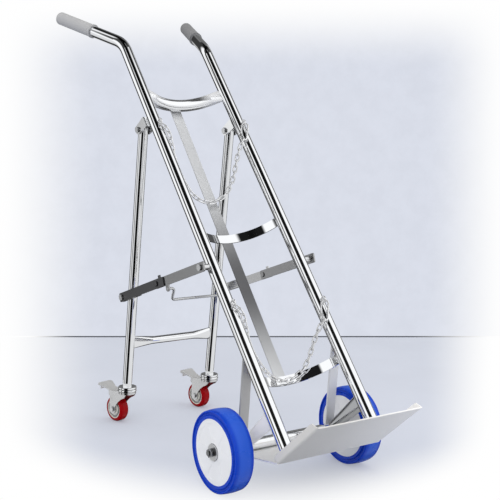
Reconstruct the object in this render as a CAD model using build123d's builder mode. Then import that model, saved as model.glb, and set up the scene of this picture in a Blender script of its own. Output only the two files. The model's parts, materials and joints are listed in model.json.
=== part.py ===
from build123d import *
import os
from math import asin, atan2, ceil, cos, degrees, hypot, radians, sin, sqrt, tan

# Gas cylinder trolley, in millimetres and degrees.
# It stands on the floor at Z = 0 with its four wheels down. X runs across it, the toe tray
# points towards -Y and the handles lean back towards +Y.

# Main frame
lean = 40.0                # main tubes, from the vertical
tube_d = 32.0
tube_wall = 2.0
tube_spacing = 268.0       # centre to centre
handle_up = 1163.0         # bend of the handles above the axle, along the tubes
handle_reach = 277.0       # bend to the end of the grip
handle_rise = 18.0
handle_splay = 18.0
tube_bend = 90.0           # bend radius on the tube's axis

# Handle grips
grip_d = 37.0
grip_length = 150.0
grip_cap = 6.0
grip_lip_d = 40.0
grip_lip = 5.0
grip_flare = 7.0
grip_round = 6.0
grip_fit = 0.02

# Top cross tube, bowed back and pressed flat at both ends
cross_d = 33.7
cross_wall = 2.0
cross_up = 986.5
cross_bow = 56.0
cross_turn = 35.0
cross_flat = 42.0
cross_flat_thick = 12.0

# Cradle bands and the strap behind them
band_wide = 25.0
band_thick = 3.0
upper_band_up = 543.0
lower_band_up = 123.0
band_inset = 10.0          # band end inside the tube's axis, across
band_seat = 9.0            # band end behind the tube's axis
strap_wide = 32.0
strap_thick = 3.0
strap_depth = 96.0         # strap face behind the tubes at the lower band
strap_tail = 8.0           # strap past the lower band's middle
strap_weld = 0.4           # strap let into the bands and the cross tube

# Toe tray and base pan
sheet = 3.0
tray_reach = 160.0         # in front of the tubes
tray_past = 11.0           # behind them
tray_bend = 6.0            # outer radius of the bend below a wing
wing_high = 20.0
wing_slant = 14.0
wing_gap = 0.2             # between a main tube and the wing beside it
wing_round = 4.0

# Road wheels and axle
wheel_d = 200.0
wheel_wide = 50.0
rim_d = 158.0
tyre_crown = 2.0
tyre_shoulder = 3.0
tyre_groove = 4.0          # radius of the hollow round a tyre's side
tyre_groove_d = 180.0
axle_back = 156.0          # axle behind the main tubes
axle_tube_d = 28.0
axle_tube_past = 13.8      # axle tube past the tray's wings
axle_spacer = 3.6          # from the axle tube to a wheel's side play
axle_d = 20.0
axle_thread_d = 12.0       # past the shoulder that the washer sits on
axle_fit = 0.03
axle_gap = 0.4             # side play of a wheel
axle_washer_d = 40.0
axle_washer = 2.6
axle_nut_af = 19.0
axle_nut = 10.0
axle_end = 3.0             # rod past its nut
bearing_d = 42.0
bearing_wide = 12.0
hub_boss_d = 48.0
hub_step = 0.8             # disc sunk below the boss and the tyre's side
hub_clear = 2.0            # between the axle and the hub's middle
hub_pocket = 0.8
hub_pocket_in = 33.0
hub_pocket_out = 68.0
hub_spokes = 6
hub_spoke_wide = 16.0

# Braces from the axle to the main tubes, and the struts above them
brace_d = 25.0
brace_up = 4.0
brace_flat = 44.0
brace_flat_thick = 11.0
strut_wide = 26.0
strut_thick = 5.0
strut_up = 168.0
strut_back = 9.0           # strut foot behind the axle's middle

# Rear leg frame
leg_d = 27.0
leg_wall = 2.0
leg_spacing = 280.0
leg_pivot_up = 896.0
leg_pivot_back = 55.0
leg_head = 13.0            # leg past its pivot
leg_plug = 16.0            # solid foot of the leg
pivot_d = 10.0
pivot_fit = 0.05
pivot_head_d = 16.0
pivot_head = 5.0
bracket_sheet = 3.0
bracket_gap = 0.6          # leg to bracket cheek
bracket_high = 32.0
bracket_drop = 7.0         # bracket's middle below the pivot, along the tube
bracket_nose = 13.0        # radius round the pivot
bracket_web = 6.0
bracket_bite = 3.0         # web sunk round the tube
bar_d = 22.0
bar_high = 243.0
bar_flat = 40.0
bar_flat_thick = 9.0
bar_taper = 70.0

# Folding stays
stay_up = 414.0            # front pivot, along the main tubes from the axle
stay_leg = 474.0           # rear pivot below the leg's pivot, along the leg
stay_split = 0.514         # middle pivot, share of the way from the front pivot
stay_wide = 25.0
stay_bar = 4.0
stay_web = 3.0
stay_flange = 12.0
stay_flange_share = 0.5    # flange's share of the rear half's length
stay_play = 0.5            # between the two halves, and between a half and its pin's head
stay_out = 34.0            # inner face of the front half outside the main tube's axis
stay_end = 12.0            # bar past a pivot
stay_nose = 18.0           # front half past its front pivot
stay_tail = 38.0           # rear half past the middle pivot
stay_corner = 4.0
stay_tab = 11.0
stay_tab_high = 7.0
stay_tab_from = 14.0
stay_pin_d = 10.0
stay_pin_fit = 0.05
stay_collar_d = 16.0
stay_head_d = 17.0
stay_head = 4.0
rivet_d = 14.0
rivet_high = 3.5
rivet_round = 1.2

# Release handle under the left front stay
release_d = 7.0
release_along = 176.0      # from the front pivot
release_below = 22.0       # below the middle of the stay
release_low_along = 199.0
release_low_below = 49.0
release_in = 17.0          # crank inside the stay
release_end = -8.0
release_bend = 9.0
release_lug = 15.0
release_fit = 0.02
release_tip = 2.0

# Swivel casters
caster_back = 598.0        # swivel axis behind the axle
caster_d = 75.0
caster_wide = 30.0
caster_rim_d = 56.0
caster_round = 9.0
caster_trail = 46.0
caster_swing = 12.0        # both turned towards -X
caster_dish_in = 36.0
caster_dish_out = 50.0
caster_dish = 8.0
caster_rim_step = 1.5
caster_axle_d = 10.0
caster_fit = 0.05
caster_head_d = 14.0
caster_head = 4.5
fork_sheet = 2.5
fork_gap = 2.0             # wheel to fork cheek
fork_crown = 95.0          # underside of the crown above the floor
fork_back = 26.0           # crown behind the stem
fork_cup_d = 51.0
fork_cup = 4.0             # depth of the cup under the crown
fork_nose = 13.0
fork_hollow = 85.0         # radius of a cheek's hollow front edge
fork_hollow_front = 38.0   # its centre before the stem
fork_hollow_high = 1.0
race_d = 54.0
race_low = 7.0
race_top = 7.0
race_gap = 0.4
race_round = 3.0
king_d = 12.0
king_fit = 0.05
king_head_d = 18.0
king_head = 4.0
stem_nut_af = 24.0
stem_nut = 10.0
pedal_pivot_back = 48.0
pedal_pivot_high = 84.0
pedal_pin_d = 5.0
pedal_eye = 6.0
pedal_tip_back = 110.0
pedal_tip_high = 102.0
pedal_thick = 4.0
pedal_wide = 32.0
pedal_tip_wide = 58.0
pedal_corner = 8.0
pedal_flare_back = 76.0
pedal_shoe = 7.0
pedal_shoe_back = 60.0
pedal_shoe_low = 75.8
pedal_tab = 12.0
pedal_tab_thick = 3.0

# Safety chains with their eyes and snap hooks
chain_wire = 3.5
chain_link = 25.0
chain_link_wide = 13.5
chain_slack = 1.0
upper_eye_up = 860.0
lower_left_eye_up = 295.0
lower_right_eye_up = 277.0
eye_ring = 7.5             # radius of the ring's wire line
eye_wire = 4.4
eye_bite = 1.0             # ring sunk into the tube
hook_wire = 5.0
hook_long = 62.0
hook_wide = 23.0
hook_gap = 26.0            # length of the gate
hook_in = 24.7             # the way it hangs: across, along the tube and behind
hook_down = 55.8
hook_back = 9.0
hook_shift = 3.0           # eye off the middle of the hook's bow
hook_pin_d = 2.0
hook_pin_fit = 0.05
hook_cheek = 1.2
hook_eye_wide = 3.0
hook_eye_r = 3.0
hook_play = 0.4
hook_hang = 1.3            # between the hook's wire and the eye's
gate_d = 4.0

# Directions of the leaning frame: along the tubes, and square to them towards the rear
along_dir = Vector(0, sin(radians(lean)), cos(radians(lean)))
back_dir = Vector(0, cos(radians(lean)), -sin(radians(lean)))
handle_dir = Vector(-cos(radians(handle_rise)) * sin(radians(handle_splay)),
                    cos(radians(handle_rise)) * cos(radians(handle_splay)),
                    sin(radians(handle_rise)))

wheel_r = wheel_d / 2
tube_r = tube_d / 2
tube_x = tube_spacing / 2
leg_x = leg_spacing / 2
tray_drop = wheel_r        # the tray reaches the floor when the tubes stand upright
wing_in = tube_x + tube_r + wing_gap
wing_out = wing_in + sheet
axle_tube_half = wing_out + axle_tube_past
spacer_out = axle_tube_half + axle_spacer
boss_half = wheel_wide / 2
wheel_x = spacer_out + axle_gap + boss_half

# The axle's place puts the middle of the trolley's length at Y = 0
front_y = -tray_drop * along_dir.Y - (tray_reach + axle_back) * back_dir.Y
grip_tilt = sqrt(1 - handle_dir.Y ** 2)
rear_y = (handle_up * along_dir.Y - axle_back * back_dir.Y
          + (handle_reach - grip_round) * handle_dir.Y
          + (grip_d / 2 - grip_round) * grip_tilt + grip_round)
axle_centre = Vector(0, -(front_y + rear_y) / 2, wheel_r)


def at(x, along, behind):
    """A point of the leaning frame: across, along the tubes from the axle, behind the tubes."""
    return axle_centre + Vector(x, 0, 0) + along_dir * along + back_dir * (behind - axle_back)


def cross_plane(along):
    """A plane square to the main tubes, with local X across and local Y to the rear."""
    return Plane(origin=at(0, along, 0), x_dir=(1, 0, 0), z_dir=along_dir)


def side_plane(x):
    """A plane facing +X, with local X to the rear of the tubes and local Y along them."""
    return Plane(origin=at(x, 0, 0), x_dir=back_dir, z_dir=(1, 0, 0))


def bar(start, end, diameter):
    """A round bar between two points."""
    start = Vector(start)
    way = Vector(end) - start
    with BuildPart() as round_bar:
        with BuildSketch(Plane(origin=start, z_dir=way)):
            Circle(diameter / 2)
        extrude(amount=way.length)
    return round_bar.part


def across(x_from, x_to, centre, diameter):
    """A round bar parallel to X through a point."""
    return bar((x_from, centre.Y, centre.Z), (x_to, centre.Y, centre.Z), diameter)


def hexagon(x_from, x_to, centre, flats):
    """A hexagon head with its axis parallel to X."""
    with BuildPart() as head:
        with BuildSketch(Plane(origin=(x_from, centre.Y, centre.Z), z_dir=(x_to - x_from, 0, 0))):
            RegularPolygon(flats / 2, 6, major_radius=False)
        extrude(amount=abs(x_to - x_from))
    return head.part


os.makedirs("parts", exist_ok=True)


def save(part, name):
    part.label = name
    export_step(part, f"parts/{name}.step")


def save_pair(part, name):
    """Writes a piece of the left side and its mirror image on the right."""
    save(part, f"left_{name}")
    with BuildPart() as other:
        mirror(part, about=Plane.YZ)
    save(other.part, f"right_{name}")


# Main tubes, one bent tube each from the tray to the handle's end
tube_foot = at(-tube_x, sheet - tray_drop, 0)
tube_corner = at(-tube_x, handle_up, 0)
tube_end = tube_corner + handle_dir * (handle_reach - grip_cap)
with BuildPart() as main_tube:
    with BuildLine():
        FilletPolyline(tube_foot, tube_corner, tube_end, radius=tube_bend)
    with BuildSketch(Plane(origin=tube_foot, x_dir=(1, 0, 0), z_dir=along_dir)):
        Circle(tube_r)
        Circle(tube_r - tube_wall, mode=Mode.SUBTRACT)
    sweep()
save_pair(main_tube.part, "main_tube")

# Solid cores of the straight tubes and of the axle tube, to seat other pieces against them
with BuildPart() as tube_cores:
    add(bar(tube_foot, tube_corner, tube_d))
    mirror(about=Plane.YZ)
axle_core = across(-axle_tube_half, axle_tube_half, axle_centre, axle_tube_d)

# Handle grips
grip_from = handle_reach - grip_length
grip_plane = Plane(origin=tube_corner, x_dir=handle_dir, z_dir=handle_dir.cross(Vector(0, 0, 1)))
grip_bore = tube_r + grip_fit
with BuildPart() as grip:
    with BuildSketch(grip_plane):
        with BuildLine():
            Polyline((grip_from, grip_bore),
                     (grip_from, grip_lip_d / 2),
                     (grip_from + grip_lip, grip_lip_d / 2),
                     (grip_from + grip_lip + grip_flare, grip_d / 2),
                     (handle_reach, grip_d / 2),
                     (handle_reach, 0),
                     (handle_reach - grip_cap, 0),
                     (handle_reach - grip_cap, grip_bore), close=True)
        outline = make_face()
        outer_corner = outline.vertices().group_by(Axis.X)[-1].sort_by(Axis.Y)[-1]
        fillet(outer_corner, grip_round)
    revolve(axis=Axis(tube_corner, handle_dir))
save_pair(grip.part, "grip")

# Top cross tube: an arc between straight ends that are pressed flat against the main tubes
cross_radius = (tube_x * tan(radians(cross_turn)) - cross_bow) / (1 / cos(radians(cross_turn)) - 1)
cross_mid = cross_plane(cross_up)
cross_centre = (0, cross_bow - cross_radius)
with BuildPart() as cross_tube:
    with BuildLine(cross_mid) as cross_arc:
        CenterArc(cross_centre, cross_radius, 90 + cross_turn, -2 * cross_turn)
    arc_edge = cross_arc.edges()[0]
    with BuildSketch(Plane(origin=arc_edge @ 0, x_dir=along_dir, z_dir=arc_edge % 0)):
        Circle(cross_d / 2)
        Circle(cross_d / 2 - cross_wall, mode=Mode.SUBTRACT)
    sweep(path=arc_edge)
    for place, tube_side in ((0, -1), (1, 1)):
        arc_end = arc_edge @ place
        tube_point = at(tube_side * tube_x, cross_up, 0)
        with BuildSketch(Plane(origin=arc_end, x_dir=along_dir, z_dir=tube_point - arc_end)):
            Circle(cross_d / 2)
        with BuildSketch(Plane(origin=tube_point, x_dir=along_dir, z_dir=tube_point - arc_end)):
            Ellipse(cross_flat / 2, cross_flat_thick / 2)
        loft()
    add(tube_cores.part, mode=Mode.SUBTRACT)
save(cross_tube.part, "top_cross_tube")

# Back strap: one straight flat bar behind both bands, up to the cross tube
strap_top = cross_bow + cross_d / 2
strap_slope = (strap_depth - strap_top) / (cross_up - lower_band_up)


def strap_face(along):
    """How far the strap's front face lies behind the main tubes at a height along them."""
    return strap_top + (cross_up - along) * strap_slope


def cradle_band(along):
    """A flat band curved back round the cylinder, from tube to tube."""
    half_chord = tube_x - band_inset
    depth = strap_face(along) - band_thick / 2
    rise = depth - band_seat
    radius = (half_chord ** 2 + rise ** 2) / (2 * rise)
    with BuildPart() as band:
        with BuildSketch(cross_plane(along - band_wide / 2)):
            with Locations((0, depth - radius)):
                Circle(radius + band_thick / 2)
                Circle(radius - band_thick / 2, mode=Mode.SUBTRACT)
            with Locations((0, band_seat)):
                Rectangle(2 * tube_x, 2 * depth,
                          align=(Align.CENTER, Align.MIN), mode=Mode.INTERSECT)
        extrude(amount=band_wide)
        add(tube_cores.part, mode=Mode.SUBTRACT)
    return band.part


upper_band = cradle_band(upper_band_up)
lower_band = cradle_band(lower_band_up)
save(upper_band, "upper_cradle_band")
save(lower_band, "lower_cradle_band")

strap_foot = lower_band_up - strap_tail
with BuildPart() as strap:
    with BuildSketch(side_plane(-strap_wide / 2)):
        with BuildLine():
            Polyline((strap_face(strap_foot) - strap_weld, strap_foot),
                     (strap_face(strap_foot) - strap_weld + strap_thick, strap_foot),
                     (strap_top - strap_weld + strap_thick, cross_up),
                     (strap_top - strap_weld, cross_up), close=True)
        make_face()
    extrude(amount=strap_wide)
    for met in (upper_band, lower_band, cross_tube.part):
        add(met, mode=Mode.SUBTRACT)
save(strap.part, "back_strap")

# Toe tray: a bent sheet square to the tubes, with a wing up each side
tray_rear = tube_r + tray_past
with BuildPart() as tray:
    with BuildSketch(cross_plane(-tray_drop)):
        with Locations((0, tray_rear)):
            Rectangle(2 * wing_out, tray_reach + tray_rear, align=(Align.CENTER, Align.MAX))
    extrude(amount=sheet)
    with BuildSketch(side_plane(-wing_out)):
        with BuildLine():
            Polyline((tray_rear, -tray_drop),
                     (tray_rear, wing_high - tray_drop),
                     (wing_slant - tray_reach, wing_high - tray_drop),
                     (-tray_reach, -tray_drop), close=True)
        wing_outline = make_face()
        fillet(wing_outline.vertices().group_by(Axis.Y)[-1], wing_round)
    wing = extrude(amount=sheet)
    mirror(wing, about=Plane.YZ)
    side_edges = edges().filter_by(Axis(axle_centre, back_dir))
    fillet(side_edges.group_by(Axis(axle_centre, along_dir))[0], tray_bend)
save(tray.part, "toe_tray")

# Base pan: a flat sheet from the tray's rear edge up to the underside of the axle tube
pan_run = axle_back - tray_rear
pan_rise = tray_drop - sheet
pan_angle = atan2(pan_rise, pan_run) - asin((axle_tube_d / 2) / hypot(pan_run, pan_rise))
pan_length = sqrt(pan_run ** 2 + pan_rise ** 2 - (axle_tube_d / 2) ** 2)
with BuildPart() as pan:
    with BuildSketch(side_plane(-wing_out)):
        with Locations(Location((tray_rear, sheet - tray_drop), (0, 0, degrees(pan_angle)))):
            Rectangle(pan_length, sheet, align=(Align.MIN, Align.MAX))
        with Locations((tray_rear, 0)):
            Rectangle(2 * axle_back, 2 * tray_drop,
                      align=(Align.MIN, Align.CENTER), mode=Mode.INTERSECT)
    extrude(amount=2 * wing_out)
save(pan.part, "base_pan")

# Axle tube, axle rod and its fasteners
with BuildPart() as axle_tube:
    add(axle_core)
    add(across(-axle_tube_half, axle_tube_half, axle_centre, axle_d + 2 * axle_fit), mode=Mode.SUBTRACT)
save(axle_tube.part, "axle_tube")

washer_in = wheel_x + boss_half + axle_gap
washer_out = washer_in + axle_washer
rod_end = washer_out + axle_nut + axle_end
with BuildPart() as rod:
    add(across(-washer_in, washer_in, axle_centre, axle_d))
    add(across(-rod_end, rod_end, axle_centre, axle_thread_d))
save(rod.part, "axle_rod")
rod_hole = across(-washer_in, washer_in, axle_centre, axle_d + 2 * axle_fit)
thread_hole = across(-rod_end, rod_end, axle_centre, axle_thread_d + 2 * axle_fit)
with BuildPart() as washers:
    add(across(-washer_out, -washer_in, axle_centre, axle_washer_d))
    add(across(-spacer_out, -axle_tube_half, axle_centre, axle_tube_d))
    mirror(about=Plane.YZ)
    add(rod_hole, mode=Mode.SUBTRACT)
    add(thread_hole, mode=Mode.SUBTRACT)
save(washers.part, "axle_washers")
with BuildPart() as axle_nuts:
    add(hexagon(-washer_out, -washer_out - axle_nut, axle_centre, axle_nut_af))
    mirror(about=Plane.YZ)
    add(thread_hole, mode=Mode.SUBTRACT)
save(axle_nuts.part, "axle_nuts")

# Road wheels, made on the left: tyre, hub and two bearings
wheel_plane = Plane(origin=(-wheel_x, axle_centre.Y, wheel_r), x_dir=(1, 0, 0), z_dir=(0, -1, 0))
wheel_axis = Axis(wheel_plane.origin, (1, 0, 0))
tread_edge = wheel_r - tyre_crown
with BuildPart() as tyre:
    with BuildSketch(wheel_plane):
        with BuildLine():
            Polyline((-boss_half, tread_edge), (-boss_half, rim_d / 2),
                     (boss_half, rim_d / 2), (boss_half, tread_edge))
            ThreePointArc((boss_half, tread_edge), (0, wheel_r), (-boss_half, tread_edge))
        make_face()
        fillet(vertices().group_by(Axis.Y)[-1], tyre_shoulder)
        with Locations((-boss_half, tyre_groove_d / 2), (boss_half, tyre_groove_d / 2)):
            Circle(tyre_groove, mode=Mode.SUBTRACT)
    revolve(axis=wheel_axis)
save_pair(tyre.part, "tyre")

bearing_bore = axle_d / 2 + axle_fit
with BuildPart() as hub:
    with BuildSketch(wheel_plane):
        with Locations((0, bearing_d / 2)):
            Rectangle(wheel_wide - 2 * hub_step, rim_d / 2 - bearing_d / 2,
                      align=(Align.CENTER, Align.MIN))
        with Locations((0, bearing_bore + hub_clear)):
            Rectangle(wheel_wide, hub_boss_d / 2 - bearing_bore - hub_clear,
                      align=(Align.CENTER, Align.MIN))
        with Locations((-boss_half, bearing_bore), (boss_half, bearing_bore)):
            Rectangle(2 * bearing_wide, bearing_d - 2 * bearing_bore, mode=Mode.SUBTRACT)
    revolve(axis=wheel_axis)
    for face_side in (-1, 1):
        face_x = -wheel_x + face_side * (wheel_wide / 2 - hub_step)
        face_middle = (face_x, axle_centre.Y, wheel_r)
        with BuildSketch(Plane(origin=face_middle, x_dir=(0, 1, 0), z_dir=(face_side, 0, 0))):
            Circle(hub_pocket_out)
            Circle(hub_pocket_in, mode=Mode.SUBTRACT)
            with PolarLocations(0, hub_spokes):
                Rectangle(hub_pocket_out + hub_spoke_wide, hub_spoke_wide,
                          align=(Align.MIN, Align.CENTER), mode=Mode.SUBTRACT)
        extrude(amount=-hub_pocket, mode=Mode.SUBTRACT)
save_pair(hub.part, "wheel_hub")

with BuildPart() as bearings:
    for face_side in (-1, 1):
        bearing_end = -wheel_x + face_side * boss_half
        bearing_start = bearing_end - face_side * bearing_wide
        add(across(bearing_start, bearing_end, axle_centre, bearing_d))
    add(across(-rod_end, rod_end, axle_centre, 2 * bearing_bore), mode=Mode.SUBTRACT)
save_pair(bearings.part, "wheel_bearings")

# Braces: a round tube from the axle, pressed flat where it meets the main tube
brace_from = at(-tube_x, 0, axle_back)
brace_to = at(-tube_x, brace_up, 0)
with BuildPart() as brace:
    with BuildSketch(Plane(origin=brace_from, x_dir=along_dir, z_dir=brace_to - brace_from)):
        Circle(brace_d / 2)
    with BuildSketch(Plane(origin=brace_to, x_dir=along_dir, z_dir=brace_to - brace_from)):
        Ellipse(brace_flat / 2, brace_flat_thick / 2)
    loft()
    add(tube_cores.part, mode=Mode.SUBTRACT)
    add(axle_core, mode=Mode.SUBTRACT)
save_pair(brace.part, "axle_brace")

# Struts: flat bars from the main tubes down to the back of the axle tube
strut_foot_back = axle_back + strut_back * back_dir.Y
strut_foot_up = strut_back * along_dir.Y
strut_angle = degrees(atan2(strut_up - strut_foot_up, -strut_foot_back))
with BuildPart() as strut:
    with BuildSketch(side_plane(-tube_x - strut_wide / 2)):
        with Locations(Location((strut_foot_back, strut_foot_up), (0, 0, strut_angle))):
            Rectangle(hypot(strut_foot_back, strut_up - strut_foot_up), strut_thick,
                      align=(Align.MIN, Align.CENTER))
    extrude(amount=strut_wide)
    add(tube_cores.part, mode=Mode.SUBTRACT)
    add(axle_core, mode=Mode.SUBTRACT)
    add(brace.part, mode=Mode.SUBTRACT)
save_pair(strut.part, "strut")

# Leg brackets: a bent channel on the back of each tube, with the leg's pivot bolt through it
leg_pivot = at(0, leg_pivot_up, leg_pivot_back)
cheek_in = leg_d / 2 + bracket_gap
cheek_out = cheek_in + bracket_sheet
with BuildPart() as bracket:
    for cheek_x in (-leg_x - cheek_out, -leg_x + cheek_in):
        with BuildSketch(side_plane(cheek_x)):
            with Locations((leg_pivot_back, leg_pivot_up)):
                Circle(bracket_nose)
            with Locations((tube_r - bracket_bite, leg_pivot_up - bracket_drop)):
                Rectangle(bracket_web, bracket_high, align=(Align.MIN, Align.CENTER))
            make_hull()
        extrude(amount=bracket_sheet)
    with BuildSketch(side_plane(-leg_x - cheek_out)):
        with Locations((tube_r - bracket_bite, leg_pivot_up - bracket_drop)):
            Rectangle(bracket_web, bracket_high, align=(Align.MIN, Align.CENTER))
    extrude(amount=2 * cheek_out)
    add(tube_cores.part, mode=Mode.SUBTRACT)
    add(across(-leg_x - cheek_out, -leg_x + cheek_out, leg_pivot, pivot_d), mode=Mode.SUBTRACT)
save_pair(bracket.part, "leg_bracket")

with BuildPart() as pivot_bolts:
    add(across(-leg_x - cheek_out, -leg_x + cheek_out + pivot_head, leg_pivot, pivot_d))
    add(across(-leg_x - cheek_out - pivot_head, -leg_x - cheek_out, leg_pivot, pivot_head_d))
    add(hexagon(-leg_x + cheek_out, -leg_x + cheek_out + pivot_head, leg_pivot, pivot_head_d))
    mirror(about=Plane.YZ)
save(pivot_bolts.part, "leg_pivot_bolts")

# Rear legs, from the pivot down to the caster's stem nut
race_from = fork_crown + fork_sheet
top_race_from = race_from + race_low + race_gap
nut_from = top_race_from + race_top
leg_low = nut_from + stem_nut
caster_y = axle_centre.Y + caster_back
leg_top = Vector(-leg_x, leg_pivot.Y, leg_pivot.Z)
leg_foot = Vector(-leg_x, caster_y, leg_low)
leg_dir = (leg_foot - leg_top).normalized()
with BuildPart() as leg:
    add(bar(leg_top - leg_dir * leg_head, leg_foot + leg_dir * leg_d, leg_d))
    add(bar(leg_top - leg_dir * leg_head, leg_foot - leg_dir * leg_plug, leg_d - 2 * leg_wall),
        mode=Mode.SUBTRACT)
    split(bisect_by=Plane.XY.offset(leg_low), keep=Keep.TOP)
    add(across(-leg_x - leg_d, -leg_x + leg_d, leg_pivot, pivot_d + 2 * pivot_fit), mode=Mode.SUBTRACT)
save_pair(leg.part, "leg")

# Rear cross bar between the legs, pressed flat at both ends
bar_point = leg_top + leg_dir * ((bar_high - leg_top.Z) / leg_dir.Z)
bar_half = leg_x - bar_taper
with BuildPart() as cross_bar:
    add(across(-bar_half, bar_half, bar_point, bar_d))
    for bar_side in (-1, 1):
        end_way = (bar_side, 0, 0)
        taper_from = (bar_side * bar_half, bar_point.Y, bar_point.Z)
        taper_to = (bar_side * leg_x, bar_point.Y, bar_point.Z)
        with BuildSketch(Plane(origin=taper_from, x_dir=leg_dir, z_dir=end_way)):
            Circle(bar_d / 2)
        with BuildSketch(Plane(origin=taper_to, x_dir=leg_dir, z_dir=end_way)):
            Ellipse(bar_flat / 2, bar_flat_thick / 2)
        loft()
    leg_core = bar(leg_top, leg_foot, leg_d)
    add(leg_core, mode=Mode.SUBTRACT)
    add(mirror(leg_core, about=Plane.YZ, mode=Mode.PRIVATE), mode=Mode.SUBTRACT)
save(cross_bar.part, "rear_cross_bar")

# Folding stays. Each runs outside the frame from a pin on the main tube to a pin on the leg
# and breaks upwards at its middle pivot, which is left open: each half carries half the rivet.
stay_front = at(0, stay_up, 0)
stay_rear_3d = leg_top + leg_dir * stay_leg
stay_rear = Vector(0, stay_rear_3d.Y, stay_rear_3d.Z)
stay_way = (stay_rear - stay_front).normalized()
stay_length = (stay_rear - stay_front).length
stay_mid = stay_length * stay_split
bar_in = -tube_x - stay_out
bar_out = bar_in - stay_bar
web_in = bar_out - stay_play
web_out = web_in - stay_web


def stay_plane(x):
    """A plane facing +X at the front pivot, with local X down the stay and local Y above it."""
    return Plane(origin=(x, stay_front.Y, stay_front.Z), x_dir=stay_way, z_dir=(1, 0, 0))


def stay_point(x, along, above):
    return stay_plane(x).from_local_coords((along, above, 0))


def front_stay(lug):
    """The flat front half, with a lug for the release handle on the left one."""
    with BuildPart() as half:
        with BuildSketch(stay_plane(bar_out)):
            with Locations((-stay_nose, 0)):
                Rectangle(stay_nose + stay_mid + stay_end, stay_wide, align=(Align.MIN, Align.CENTER))
            fillet(vertices(), stay_corner)
            if lug:
                with Locations((release_along, -stay_wide / 4)):
                    Rectangle(release_lug, release_below - stay_wide / 4,
                              align=(Align.CENTER, Align.MAX))
                with Locations((release_along, -release_below)):
                    Circle(release_lug / 2)
                    Circle(release_d / 2 + release_fit, mode=Mode.SUBTRACT)
            Circle(stay_pin_d / 2 + stay_pin_fit, mode=Mode.SUBTRACT)
        extrude(amount=stay_bar)
        with BuildSketch(stay_plane(bar_in)):
            with Locations((stay_mid, 0)):
                Circle(rivet_d / 2)
        extrude(amount=rivet_high)
        fillet(edges().filter_by(GeomType.CIRCLE).sort_by(Axis.X)[-1], rivet_round)
    return half.part


save(front_stay(True), "left_front_stay")
with BuildPart() as right_front:
    mirror(front_stay(False), about=Plane.YZ)
save(right_front.part, "right_front_stay")

rear_end = stay_length + stay_end
with BuildPart() as rear_stay:
    with BuildSketch(stay_plane(web_out)):
        with Locations((rear_end, 0)):
            Rectangle(rear_end - stay_mid + stay_tail, stay_wide, align=(Align.MAX, Align.CENTER))
        fillet(vertices(), stay_corner)
        with Locations((stay_mid - stay_tab_from, stay_wide / 2)):
            Rectangle(stay_tab, 2 * stay_tab_high, align=(Align.MAX, Align.CENTER))
        with Locations((stay_length, 0)):
            Circle(stay_pin_d / 2 + stay_pin_fit, mode=Mode.SUBTRACT)
    extrude(amount=stay_web)
    with BuildSketch(stay_plane(web_out)):
        with Locations((rear_end - stay_corner, -stay_wide / 2)):
            Rectangle((stay_length - stay_mid) * stay_flange_share, stay_web,
                      align=(Align.MAX, Align.MIN))
    extrude(amount=stay_flange)
    with BuildSketch(stay_plane(web_out)):
        with Locations((stay_mid, 0)):
            Circle(rivet_d / 2)
    extrude(amount=-rivet_high)
    fillet(edges().filter_by(GeomType.CIRCLE).sort_by(Axis.X)[0], rivet_round)
save_pair(rear_stay.part, "rear_stay")


def stay_pin(tube_side, half_in, half_out, centre):
    """A pin with a collar on the tube, and a head outside the half that turns on it."""
    with BuildPart() as pin:
        add(across(tube_side, half_in + stay_play, centre, stay_collar_d))
        add(across(tube_side, half_out - stay_play, centre, stay_pin_d))
        add(across(half_out - stay_play, half_out - stay_play - stay_head, centre, stay_head_d))
    return pin.part


with BuildPart() as front_pins:
    add(stay_pin(-tube_x, bar_in, bar_out, stay_front))
    mirror(about=Plane.YZ)
    add(tube_cores.part, mode=Mode.SUBTRACT)
save(front_pins.part, "front_stay_pins")
with BuildPart() as rear_pins:
    add(stay_pin(-leg_x, web_in, web_out, stay_rear))
    add(leg_core, mode=Mode.SUBTRACT)
    mirror(about=Plane.YZ)
save(rear_pins.part, "rear_stay_pins")

# Release handle: a cranked rod through the lug under the left front stay
crank_x = bar_in + release_in
with BuildPart() as release:
    with BuildLine():
        FilletPolyline(stay_point(bar_out, release_along, -release_below),
                       stay_point(crank_x, release_along, -release_below),
                       stay_point(crank_x, release_low_along, -release_low_below),
                       stay_point(release_end, release_low_along, -release_low_below),
                       radius=release_bend)
    with BuildSketch(Plane(origin=stay_point(bar_out, release_along, -release_below), z_dir=(1, 0, 0))):
        Circle(release_d / 2)
    sweep()
    fillet(edges().filter_by(GeomType.CIRCLE).sort_by(Axis.X)[-1], release_tip)
save(release.part, "release_handle")

# Swivel casters, made on the left and pointing to the rear
caster_axle = Vector(-leg_x, caster_y + caster_trail, caster_d / 2)
pedal_pivot = Vector(-leg_x, caster_y + pedal_pivot_back, pedal_pivot_high)


def caster_side(offset):
    """A plane facing +X beside the left caster, with local X to the rear and local Y up."""
    return Plane(origin=(-leg_x + offset, caster_y, 0), x_dir=(0, 1, 0), z_dir=(1, 0, 0))


def caster_level(height):
    return Plane(origin=(-leg_x, caster_y, height), x_dir=(1, 0, 0), z_dir=(0, 0, 1))


def save_caster(part, name):
    """Writes a swivelling piece of both casters, each turned the same way about its own stem."""
    with BuildPart() as other:
        mirror(part, about=Plane.YZ)
    save(part.rotate(Axis((-leg_x, caster_y, 0), (0, 0, 1)), caster_swing), f"left_{name}")
    save(other.part.rotate(Axis((leg_x, caster_y, 0), (0, 0, 1)), caster_swing), f"right_{name}")


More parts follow.
